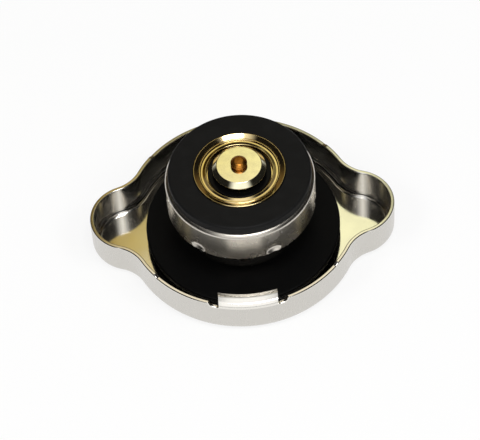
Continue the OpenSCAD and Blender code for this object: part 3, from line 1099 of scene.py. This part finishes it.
class CAP_OT_gasket(bpy.types.Operator):
    """Rubber gasket on its spring plate"""

    bl_idname = "radiator_cap.gasket"
    bl_label = "Neck gasket"

    def execute(self, context):
        s = sizes("cap_gasket")
        low, high = level("neck_gasket", False), level("neck_gasket", True)
        rise = high - low - s.thickness
        flat_round = 3
        section = rounded(
            [
                (s.hole_radius, low + s.thickness, 0.08),
                (s.hole_radius, low, 0.08),
                (s.flat_radius, low, flat_round),
                (s.radius, low + rise, s.edge_round),
                (s.radius, high, s.edge_round),
                (s.flat_radius, low + s.thickness, flat_round),
            ]
        )
        gasket = new_piece("moulded_gasket", *turned(section, 256), ["vulcanised_rubber"])
        settle(gasket, "holder", "neck_gasket")
        dress("gasket_spring_plate", "tempered_spring_steel")
        return {"FINISHED"}


class CAP_OT_holder(bpy.types.Operator):
    """Finish of the can that holds the main spring"""

    bl_idname = "radiator_cap.holder"
    bl_label = "Spring holder"

    def execute(self, context):
        dress("spring_holder", "drawn_steel")
        return {"FINISHED"}


# Springs


def wound(wire, radius, turns, low, high, steps, sides):
    """Points, normals and faces of a coil of round wire with closed end turns and domed wire ends."""
    closed, closed_pitch = 0.75, wire * 1.05
    closed_rise = closed_pitch * closed
    travel = high - low - wire
    t = np.linspace(0, turns, round(turns * steps) + 1)
    rise = np.interp(
        t, [0, closed, turns - closed, turns], [0, closed_rise, travel - closed_rise, travel]
    )
    around = np.linspace(0, 2 * math.pi, sides, endpoint=False)
    turn = 2 * math.pi * t
    # Reach and width of the rings that make a wire's domed end
    caps = [(0.0, 1.0), (0.4, 0.92), (0.75, 0.66), (0.99, 0.14)]
    points, normals = [], []

    def ring(a, z, share, tip):
        out, ahead = np.array((math.cos(a), math.sin(a), 0)), np.array((-math.sin(a), math.cos(a), 0))
        middle = radius * out + np.array((0, 0, z))
        for b in around:
            ray = math.cos(b) * out + math.sin(b) * np.array((0, 0, 1))
            points.append(middle + wire / 2 * share * ray + wire / 4 * tip * ahead)
            facing = share * ray + tip * ahead
            normals.append(facing / np.linalg.norm(facing))

    for tip, share in caps[:0:-1]:
        ring(turn[0], low + wire / 2 + rise[0], share, -tip)
    for a, z in zip(turn, low + wire / 2 + rise):
        ring(a, z, 1.0, 0.0)
    for tip, share in caps[1:]:
        ring(turn[-1], low + wire / 2 + rise[-1], share, tip)
    rows = len(points) // sides
    faces = grid(rows, sides, False, True)
    faces.append(tuple(range(sides)))
    faces.append(tuple(range((rows - 1) * sides, rows * sides)))
    points, normals = np.array(points), np.array(normals)
    return points, normals, facing_out(points, normals, faces)


class CAP_OT_springs(bpy.types.Operator):
    """Main spring in the holder and light spring on the vacuum valve's stem"""

    bl_idname = "radiator_cap.springs"
    bl_label = "Coil springs"

    def execute(self, context):
        s = sizes("cap_springs")
        coils = [
            ("main_spring", "holder", "pressure_valve_lift", False),
            ("vacuum_spring", "pressure_valve", "vacuum_valve_pull", True),
        ]
        wires = [
            (s.main_wire, s.main_radius, s.main_turns),
            (s.vacuum_wire, s.vacuum_radius, s.vacuum_turns),
        ]
        steps, sides = 72, 20
        for (node, body, joint, held_high), wire in zip(coils, wires):
            low, high = level(node, False), level(node, True)
            mesh = wound(*wire, low, high, steps, sides)
            spring = new_piece("wound_" + node, *mesh, ["tempered_spring_steel"])
            settle(spring, body, node)
            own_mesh(spring)
        return {"FINISHED"}


# Pressure valve


def dent_depth(s, turns, z, wall_r, punch_r):
    """Depth of the crimp dents in a wall of this radius, with softened edges."""
    pitch = 2 * math.pi / s.dent_count
    off = (turns - s.dent_turn + pitch / 2) % pitch - pitch / 2
    inside = punch_r**2 - z**2 - (s.dent_middle * np.sin(off) / s.dent_width) ** 2
    near = s.dent_middle * np.cos(off) - np.sqrt(np.maximum(inside, 0))
    soft, untouched = s.dent_round, -10
    depth = np.where(inside > 0, wall_r - near, untouched)
    return np.where(
        depth > soft, depth, np.where(depth < -soft, 0, (depth + soft) ** 2 / (4 * soft))
    )


class CAP_OT_cup(bpy.types.Operator):
    """Drawn valve cup with crimp dents round its foot"""

    bl_idname = "radiator_cap.cup"
    bl_label = "Valve cup"

    def execute(self, context):
        s = sizes("cap_cup")
        foot, face = level("valve_cup", False), level("valve_cup", True)
        inner_r = s.radius - s.sheet
        edge = 0.14
        section = rounded(
            [
                (inner_r, foot, edge),
                (s.radius, foot, edge, 36),
                (s.radius, face, s.bend),
                (s.hole_radius, face, 0.08),
                (s.hole_radius, face - s.sheet, 0.08),
                (inner_r, face - s.sheet, s.bend - s.sheet, 36),
            ],
            steps=10,
        )
        points, normals, faces = turned(section, 480)
        r = np.hypot(points[:, 0], points[:, 1])
        a = np.arctan2(points[:, 1], points[:, 0])
        wall = (r > inner_r - 0.05) & (points[:, 2] < face - s.bend)
        inward = np.clip((s.radius - r) / s.sheet, 0, 1)

        def depth(turns, z):
            rise = z - foot - s.dent_rise
            outer = dent_depth(s, turns, rise, s.radius, s.dent_radius)
            inner = dent_depth(s, turns, rise, inner_r, s.dent_radius + s.sheet)
            return wall * (outer + (inner - outer) * inward)

        small = 1e-3
        z = points[:, 2]
        by_turn = (depth(a + small, z) - depth(a - small, z)) / (2 * small)
        by_height = (depth(a, z + small) - depth(a, z - small)) / (2 * small)
        out = np.stack((np.cos(a), np.sin(a), np.zeros_like(a)), axis=-1)
        ahead = np.stack((-np.sin(a), np.cos(a), np.zeros_like(a)), axis=-1)
        across = (normals * out).sum(axis=1)
        tilted = normals + (across * by_turn / r)[:, None] * ahead
        tilted[:, 2] += across * by_height
        normals = tilted / np.linalg.norm(tilted, axis=1)[:, None]
        points = points - depth(a, z)[:, None] * out
        cup = new_piece("drawn_cup", points, normals, faces, ["drawn_steel"])
        settle(cup, "pressure_valve", "valve_cup")
        return {"FINISHED"}


class CAP_OT_seal(bpy.types.Operator):
    """Moulded pressure seal on the cup's face"""

    bl_idname = "radiator_cap.seal"
    bl_label = "Pressure seal"

    def execute(self, context):
        s = sizes("cap_seal")
        t = sizes("cap_retainer")
        low, high = level("pressure_seal", False), level("pressure_seal", True)
        lip_z = level("seal_retainer", True)
        slope = t.funnel_drop / (t.lip_radius - t.bead_radius)
        wall_r = t.well_radius + t.well_wall
        under_z = lip_z - t.lip_thickness - (t.lip_radius - wall_r) * slope
        gap, clear = 0.1, 0.05
        section = rounded(
            [
                (t.barrel_radius, low, 0.05),
                (s.radius, low, 0.12),
                (s.radius, high, s.edge_round),
                (t.lip_radius + gap, high, 0.06),
                (t.lip_radius - clear, lip_z - t.lip_thickness - clear, 0.02),
                (wall_r, under_z, 0.05),
                (wall_r, low + s.web, 0.05),
                (t.barrel_radius, low + s.web, 0.05),
            ]
        )
        seal = new_piece("moulded_seal", *turned(section, 320), ["moulded_nitrile_rubber"])
        settle(seal, "pressure_valve", "pressure_seal")
        return {"FINISHED"}


def seat_plate(t, low, high, outer_r):
    """Points, normals and faces of the well's floor, pierced by the guide and the flow holes."""
    curve = bpy.data.curves.new("seat_outline", "CURVE")
    curve.dimensions = "2D"
    curve.fill_mode = "BOTH"
    curve.extrude = (high - low) / 2
    circles = [(0, 0, outer_r, 96), (0, 0, t.guide_radius, 32)]
    for k in range(t.flow_count):
        turn = 2 * math.pi * k / t.flow_count
        circles.append((t.flow_ring * math.cos(turn), t.flow_ring * math.sin(turn), t.flow_radius, 32))
    for x, y, r, count in circles:
        spline = curve.splines.new("POLY")
        spline.points.add(count - 1)
        for k, point in enumerate(spline.points):
            turn = 2 * math.pi * k / count
            point.co = (x + r * math.cos(turn), y + r * math.sin(turn), 0, 1)
        spline.use_cyclic_u = True
    made = bpy.data.objects.new("seat_outline", curve)
    bpy.context.scene.collection.objects.link(made)
    mesh = bpy.data.meshes.new_from_object(made.evaluated_get(bpy.context.evaluated_depsgraph_get()))
    points, normals, faces = [], [], []
    for polygon in mesh.polygons:
        faces.append(list(range(len(points), len(points) + len(polygon.vertices))))
        for v in polygon.vertices:
            points.append((*mesh.vertices[v].co[:2], mesh.vertices[v].co.z + (low + high) / 2))
            normals.append(tuple(polygon.normal))
    bpy.data.objects.remove(made)
    bpy.data.curves.remove(curve)
    bpy.data.meshes.remove(mesh)
    return np.array(points), np.array(normals), faces


class CAP_OT_retainer(bpy.types.Operator):
    """Turned brass retainer with its funnel lip, well and pierced seat"""

    bl_idname = "radiator_cap.retainer"
    bl_label = "Seal retainer"

    def execute(self, context):
        t = sizes("cap_retainer")
        flare, lip_z = level("seal_retainer", False), level("seal_retainer", True)
        cup_top = level("valve_cup", True)
        cup_inner = cup_top - sizes("cap_cup").sheet
        shoulder = cup_top + sizes("cap_seal").web
        seat = shoulder + t.seat
        slope = t.funnel_drop / (t.lip_radius - t.bead_radius)
        bead_z = lip_z - t.funnel_drop
        ledge_z = bead_z - t.ledge_drop
        bead_in, bead_out = t.bead_radius - t.bead_round, t.bead_radius + t.bead_round
        bead_top = bead_z + t.bead_round
        wall_r = t.well_radius + t.well_wall
        inner_r = t.barrel_radius - t.barrel_wall
        fine = 0.06
        section = rounded(
            [
                (inner_r, seat, fine),
                (t.well_radius, seat, fine),
                (t.well_radius, ledge_z + t.ledge_rise, t.well_round),
                (bead_in - t.ledge_flat, ledge_z, 0.4),
                (bead_in, ledge_z, fine),
                (bead_in, bead_top, 0.95 * t.bead_round),
                (bead_out, bead_top, 0.95 * t.bead_round),
                (bead_out, bead_z + t.bead_round * slope, 0.03),
                (t.lip_radius, lip_z, 0.14),
                (t.lip_radius, lip_z - t.lip_thickness, 0.14),
                (wall_r, lip_z - t.lip_thickness - (t.lip_radius - wall_r) * slope, fine),
                (wall_r, shoulder, fine),
                (t.barrel_radius, shoulder, fine),
                (t.barrel_radius, cup_inner, fine),
                (t.flare_radius, cup_inner, 0.12),
                (t.flare_radius, flare, 0.2),
                (inner_r, flare, 0.2),
            ][::-1]
        )
        points, normals, faces = turned(section, 288)
        floor = seat_plate(t, shoulder, seat, inner_r + fine)
        faces = faces + [[len(points) + v for v in face] for face in floor[2]]
        points, normals = np.concatenate((points, floor[0])), np.concatenate((normals, floor[1]))
        retainer = new_piece("turned_retainer", points, normals, faces, ["lathe_turned_brass"])
        settle(retainer, "pressure_valve", "seal_retainer")
        return {"FINISHED"}


# Vacuum valve


class CAP_OT_vacuum_valve(bpy.types.Operator):
    """Rubber washer, button, pin and stem washer of the vacuum valve"""

    bl_idname = "radiator_cap.vacuum_valve"
    bl_label = "Vacuum valve"

    def execute(self, context):
        s = sizes("cap_vacuum")
        seat, disc = level("vacuum_seal", False), level("vacuum_disc", False)
        button, pin = level("vacuum_disc", True), level("vacuum_stem", True)
        end = level("vacuum_stem", False)
        slope_z = button - s.slope
        fine = 0.05
        washer = rounded(
            [
                (s.stem_radius, disc, fine),
                (s.stem_radius, seat, fine),
                (s.washer_radius, seat, fine),
                (s.washer_radius, disc, 0.16),
            ]
        )
        knob = rounded(
            [
                (s.stem_radius, disc, fine),
                (s.hub_radius, disc, fine),
                (s.hub_radius, slope_z - s.edge, 0.1),
                (s.edge_radius, slope_z - s.edge, 0.1),
                (s.edge_radius, slope_z, 0.12),
                (s.button_radius, button, 0.22),
                (s.stem_radius, button, fine),
            ]
        )
        neck_r, neck_z = (s.stem_radius + s.pin_radius) / 2, button + s.neck
        # The pin's head is straight up to side_z and domed from there
        side_z = 0.4 * button + 0.6 * pin
        dome_r, dome_z = 0.62 * s.pin_radius, pin - 0.09
        stem = rounded(
            [
                (0, end, 0),
                (s.stem_radius, end, 0.25),
                (s.stem_radius, button, 0.02),
                (neck_r, button, 0.02),
                (neck_r, neck_z, 0.04),
                (s.pin_radius, neck_z, 0.1),
                (s.pin_radius, side_z, 0.25),
                (dome_r, dome_z, 0.9),
                (0, pin, 0),
            ],
            closed=False,
        )
        for name, mesh, material, slot, node in (
            ("moulded_washer", turned(washer, 192), "glossy_rubber", "black_rubber", "vacuum_seal"),
            ("turned_button", turned(knob, 256), "lacquered_brass", "pale_brass", "vacuum_disc"),
            (
                "headed_pin",
                turned(stem, 128, False),
                "headed_brass_wire",
                "turned_brass",
                "vacuum_stem",
            ),
        ):
            settle(new_piece(name, *mesh, [material]), "vacuum_valve", node)
        dress("stem_washer", "lathe_turned_brass")
        return {"FINISHED"}


# Stage


def stage_material(name, shader_of):
    """Material of a stage object, whose shader the given function adds to its tree."""
    material = bpy.data.materials.new(name)
    material.use_nodes = True
    tree = material.node_tree
    tree.nodes.clear()
    add(tree, "ShaderNodeOutputMaterial", {"Surface": shader_of(tree)})
    return material


def stage_plate(name, corners, material):
    """Flat stage object with these corners, in metres."""
    mesh = bpy.data.meshes.new(name)
    mesh.from_pydata(corners, [], [list(range(len(corners)))])
    mesh.materials.append(material)
    plate = bpy.data.objects.new(name, mesh)
    bpy.context.scene.collection.objects.link(plate)
    return plate


class CAP_OT_stage(bpy.types.Operator):
    """Camera, pale floor, soft lights and the room that the metal mirrors"""

    bl_idname = "radiator_cap.stage"
    bl_label = "Stage"

    def execute(self, context):
        s = context.scene.cap_stage
        self.camera(context, s)
        self.floor(s)
        self.lights(context)
        self.card(s)
        self.room(context, s)
        context.scene.view_settings.view_transform = "Standard"
        return {"FINISHED"}

    def camera(self, context, s):
        """Camera at the photograph's place."""
        turn = Matrix.Rotation(-s.azimuth, 3, "Z")
        e = s.elevation
        right = turn @ Vector((1, 0, 0))
        up = turn @ Vector((0, math.sin(e), math.cos(e)))
        ahead = turn @ Vector((0, math.cos(e), -math.sin(e)))
        data = bpy.data.cameras.new("camera")
        data.sensor_width = SENSOR_WIDTH
        data.lens = s.focal_pixels / PHOTO_WIDTH * SENSOR_WIDTH
        data.clip_start = 10 * MM
        camera = bpy.data.objects.new("camera", data)
        place = Vector((0, 0, s.aim_height)) - s.shift_right * right - s.shift_up * up
        place = place - s.distance * ahead
        c, d = math.cos(s.roll), math.sin(s.roll)
        axes = (c * right - d * up, d * right + c * up, -ahead)
        camera.matrix_world = Matrix.Translation(place) @ Matrix(axes).transposed().to_4x4()
        context.scene.collection.objects.link(camera)
        context.scene.camera = camera

    def floor(self, s):
        """Pale floor that keeps a faint shadow.

        It is white to the camera, and in the metal it is lit only near the cap."""
        far, close, lit_share = 0.3, 0.1, 0.8

        def shader(tree):
            path = add(tree, "ShaderNodeLightPath").outputs
            to_camera, to_metal = path["Is Camera Ray"], path["Is Glossy Ray"]
            place = add(tree, "ShaderNodeTexCoord").outputs["Object"]
            away = add(tree, "ShaderNodeVectorMath", {0: place}, operation="LENGTH").outputs["Value"]
            limits = {"Value": away, "From Min": far, "From Max": close, "To Min": 0.0, "To Max": 1.0}
            near = add(tree, "ShaderNodeMapRange", limits).outputs["Result"]
            bright = add(tree, "ShaderNodeMath", {0: to_camera, 1: near}, operation="MAXIMUM")
            seen = add(tree, "ShaderNodeMath", {0: to_camera, 1: to_metal}, operation="MAXIMUM")
            share = add(
                tree,
                "ShaderNodeMath",
                {0: seen.outputs["Value"], 1: lit_share},
                operation="MULTIPLY",
            )
            paper = add(tree, "ShaderNodeBsdfDiffuse", {"Color": opaque(s.floor)})
            glow = add(
                tree,
                "ShaderNodeEmission",
                {"Color": (1, 1, 1, 1), "Strength": bright.outputs["Value"]},
            )
            mix = add(
                tree,
                "ShaderNodeMixShader",
                {0: share.outputs["Value"], 1: paper.outputs["BSDF"], 2: glow.outputs["Emission"]},
            )
            return mix.outputs["Shader"]

        turns = [2 * math.pi * k / 64 for k in range(64)]
        ring = [(s.floor_radius * math.cos(a), s.floor_radius * math.sin(a), 0) for a in turns]
        stage_plate("floor", ring, stage_material("paper", shader))

    def lights(self, context):
        """Soft boxes over the cap and to its left and right.

        Only the overhead one shows in the metal."""
        for name, place, size, power, mirrored in (
            ("overhead_box", (0.037, -0.1, 0.42), (0.16, 0.1), 0.5, True),
            ("left_box", (-0.36, -0.16, 0.46), (0.2, 0.16), 0.7, False),
            ("right_box", (0.36, -0.16, 0.46), (0.2, 0.16), 0.7, False),
        ):
            data = bpy.data.lights.new(name, "AREA")
            data.shape = "RECTANGLE"
            data.size, data.size_y = size
            data.energy = power
            lamp = bpy.data.objects.new(name, data)
            lamp.location = place
            lamp.rotation_euler = Vector(place).to_track_quat("Z", "Y").to_euler()
            lamp.visible_camera = False
            lamp.visible_glossy = mirrored
            context.scene.collection.objects.link(lamp)

    def card(self, s):
        """Warm card behind the cap that level metal mirrors.

        It is brighter to the right and paler upward, and fades at its sides and its foot."""
        standoff, half_width, half_height = 0.24, 0.09, 0.05
        ramp_half, pale_from, pale_full = 0.045, 0.009, 0.02
        away = Vector((0, math.cos(s.elevation), math.sin(s.elevation)))
        across, up = Vector((1, 0, 0)), Vector((0, -away.z, away.y))

        def shader(tree):
            place = add(tree, "ShaderNodeTexCoord").outputs["Object"]
            axes = add(tree, "ShaderNodeSeparateXYZ", {"Vector": place})
            along = add(
                tree,
                "ShaderNodeMapRange",
                {
                    "Value": axes.outputs["X"],
                    "From Min": -ramp_half,
                    "From Max": ramp_half,
                    "To Min": 0.0,
                    "To Max": 1.0,
                },
            )
            ramp = add(tree, "ShaderNodeValToRGB", {"Fac": along.outputs["Result"]})
            stops = ramp.color_ramp.elements
            stops[0].color, stops[1].color = opaque(s.card_left), opaque(s.card_right)
            stops[1].position = 0.75
            stops.new(0.45).color = opaque(s.card_middle)
            rise = add(tree, "ShaderNodeVectorMath", {0: place, 1: up}, operation="DOT_PRODUCT")
            pale = add(
                tree,
                "ShaderNodeMapRange",
                {
                    "Value": rise.outputs["Value"],
                    "From Min": pale_from,
                    "From Max": pale_full,
                    "To Min": 0.0,
                    "To Max": 1.0,
                },
            )
            shade = add(
                tree,
                "ShaderNodeMix",
                {0: pale.outputs["Result"], 6: ramp.outputs["Color"], 7: opaque(s.card_top)},
                data_type="RGBA",
            )
            side = add(tree, "ShaderNodeMath", {0: axes.outputs["X"]}, operation="ABSOLUTE")
            lit = s.card_light
            for value, dark, bright, least in (
                (side.outputs["Value"], 0.0425, 0.0395, 0.2),
                (rise.outputs["Value"], -0.012, -0.004, 0.35),
            ):
                edge = add(
                    tree,
                    "ShaderNodeMapRange",
                    {
                        "Value": value,
                        "From Min": dark,
                        "From Max": bright,
                        "To Min": least,
                        "To Max": 1.0,
                    },
                )
                lit = add(
                    tree, "ShaderNodeMath", {0: lit, 1: edge.outputs["Result"]}, operation="MULTIPLY"
                ).outputs["Value"]
            glow = add(tree, "ShaderNodeEmission", {"Color": shade.outputs[2], "Strength": lit})
            return glow.outputs["Emission"]

        middle = away * standoff
        wide, high = across * half_width, up * half_height
        corners = [middle + i * wide + k * high for i, k in ((-1, -1), (1, -1), (1, 1), (-1, 1))]
        card = stage_plate("card", corners, stage_material("card", shader))
        card.visible_camera = False
        card.visible_diffuse = False
        card.visible_shadow = False

    def room(self, context, s):
        """World: white to the camera, even for plain surfaces, and a dim studio in the metal.

        The metal sees one soft light over the camera, from the horizon to overhead, and a warm
        backdrop low behind the floor."""
        world = bpy.data.worlds.new("studio")
        world.use_nodes = True
        tree = world.node_tree
        tree.nodes.clear()
        path = add(tree, "ShaderNodeLightPath").outputs
        way = add(tree, "ShaderNodeTexCoord").outputs["Generated"]
        axes = add(tree, "ShaderNodeSeparateXYZ", {"Vector": way}).outputs
        # The light narrows towards the back
        taper, least = 0.55, 0.02
        clear = add(tree, "ShaderNodeMath", {0: taper, 1: axes["Y"]}, operation="SUBTRACT")
        ahead = add(tree, "ShaderNodeMath", {0: clear.outputs["Value"], 1: least}, operation="MAXIMUM")
        aside = add(tree, "ShaderNodeMath", {0: axes["X"]}, operation="ABSOLUTE")
        spread = add(
            tree,
            "ShaderNodeMath",
            {0: aside.outputs["Value"], 1: ahead.outputs["Value"]},
            operation="DIVIDE",
        )
        # What is measured, where it shows nothing, where it shows in full, and how it fades
        low_behind = ((axes["Y"], 0.5, 0.9, "LINEAR"), (axes["Z"], 0.6, 0.4, "LINEAR"))
        over_camera = (
            (spread.outputs["Value"], 0.58, 0.2, "SMOOTHSTEP"),
            (axes["Y"], 0.58, 0.38, "LINEAR"),
            (axes["Z"], -0.5, 0.35, "LINEAR"),
        )
        mirrored = opaque(s.room)
        for fades, seen in ((low_behind, s.backdrop), (over_camera, [s.front_light] * 3)):
            share = 1.0
            for value, none, full, kind in fades:
                fade = add(
                    tree,
                    "ShaderNodeMapRange",
                    {
                        "Value": value,
                        "From Min": none,
                        "From Max": full,
                        "To Min": 0.0,
                        "To Max": 1.0,
                    },
                    interpolation_type=kind,
                )
                factors = {0: share, 1: fade.outputs["Result"]}
                share = add(tree, "ShaderNodeMath", factors, operation="MULTIPLY").outputs["Value"]
            layers = {0: share, 6: mirrored, 7: opaque(seen)}
            mirrored = add(tree, "ShaderNodeMix", layers, data_type="RGBA").outputs[2]
        layers = {0: path["Is Glossy Ray"], 6: opaque([s.sky_light] * 3), 7: mirrored}
        lit = add(tree, "ShaderNodeMix", layers, data_type="RGBA").outputs[2]
        layers = {0: path["Is Camera Ray"], 6: lit, 7: (1, 1, 1, 1)}
        shown = add(tree, "ShaderNodeMix", layers, data_type="RGBA").outputs[2]
        glow = add(tree, "ShaderNodeBackground", {"Color": shown, "Strength": 1.0})
        add(tree, "ShaderNodeOutputWorld", {"Surface": glow.outputs["Background"]})
        context.scene.world = world


PIECES = (
    CAP_OT_stage,
    CAP_OT_shell,
    CAP_OT_rivet,
    CAP_OT_gasket,
    CAP_OT_holder,
    CAP_OT_springs,
    CAP_OT_cup,
    CAP_OT_seal,
    CAP_OT_retainer,
    CAP_OT_vacuum_valve,
)


class CAP_PT_pieces(bpy.types.Panel):
    """Pieces and settings of the radiator cap"""

    bl_idname = "CAP_PT_pieces"
    bl_label = "Radiator cap"
    bl_space_type = "VIEW_3D"
    bl_region_type = "UI"
    bl_category = "Radiator cap"

    def draw(self, context):
        for piece in PIECES:
            self.layout.operator(piece.bl_idname)
        for group in GROUPS:
            box = self.layout.box()
            settings = getattr(context.scene, group)
            for name in settings.bl_rna.properties.keys():
                if name not in ("rna_type", "name"):
                    box.prop(settings, name)


CLASSES = (*GROUPS.values(), *PIECES, CAP_PT_pieces)


def register():
    """Registers the classes and puts their settings on the scene."""
    for cls in CLASSES:
        bpy.utils.register_class(cls)
    for name, group in GROUPS.items():
        setattr(bpy.types.Scene, name, bpy.props.PointerProperty(type=group))


def unregister():
    """Takes the settings and the classes away."""
    for name in GROUPS:
        delattr(bpy.types.Scene, name)
    for cls in reversed(CLASSES):
        bpy.utils.unregister_class(cls)


def main():
    """Builds everything in order."""
    register()
    bpy.ops.radiator_cap.stage()
    bpy.ops.radiator_cap.shell()
    bpy.ops.radiator_cap.rivet()
    bpy.ops.radiator_cap.gasket()
    bpy.ops.radiator_cap.holder()
    bpy.ops.radiator_cap.springs()
    bpy.ops.radiator_cap.cup()
    bpy.ops.radiator_cap.seal()
    bpy.ops.radiator_cap.retainer()
    bpy.ops.radiator_cap.vacuum_valve()


if __name__ == "__main__":
    main()
